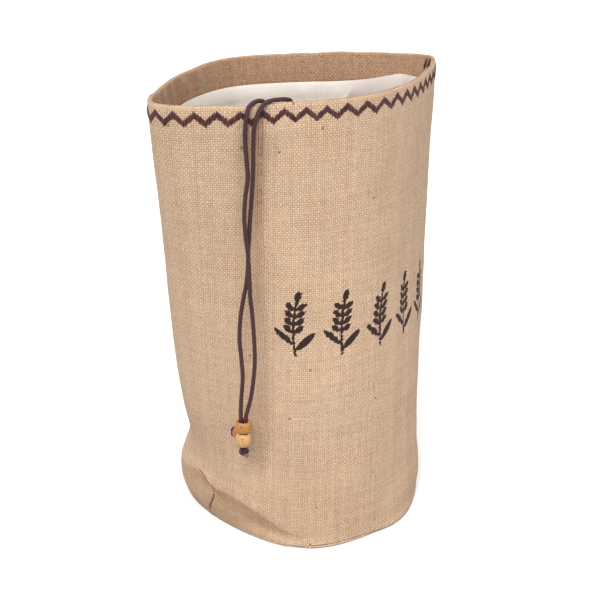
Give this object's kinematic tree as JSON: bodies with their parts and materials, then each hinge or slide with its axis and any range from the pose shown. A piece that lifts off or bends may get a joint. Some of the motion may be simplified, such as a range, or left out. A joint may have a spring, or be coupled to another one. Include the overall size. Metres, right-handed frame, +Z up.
{
  "type": "hessian bread bag",
  "caption": "Open-topped hessian bag standing on a round base, with a turned-in hem, cotton lining, zigzag stitching and a beaded drawcord.",
  "frame": {"origin": "centre of the flat underside of the base, on the surface it stands on", "axes": "+Z up the bag to its mouth; +X towards the right-hand corner of the mouth; -Y towards the front, where the seam and the drawcord are to the left"},
  "size_m": [0.2834, 0.2161, 0.3825],
  "materials": {
    "hessian": "coarse plain-woven jute, matt",
    "cotton": "plain white cotton, matt",
    "stitching": "dark brown sewing thread",
    "cord": "dark brown braided cotton cord",
    "wood": "turned wood, lightly varnished",
    "pale_wood": "turned wood, lightly varnished"
  },
  "bodies": {
    "root": {"hessian_body": "hessian", "base": "hessian", "lining": "cotton", "zigzag_stitch": "stitching", "drawcord_left": "cord", "drawcord_right": "cord", "bead_top": "wood", "bead_side": "wood", "bead_lower": "pale_wood", "knot_lower": "cord", "knot_side": "cord"}
  },
  "joints": []
}
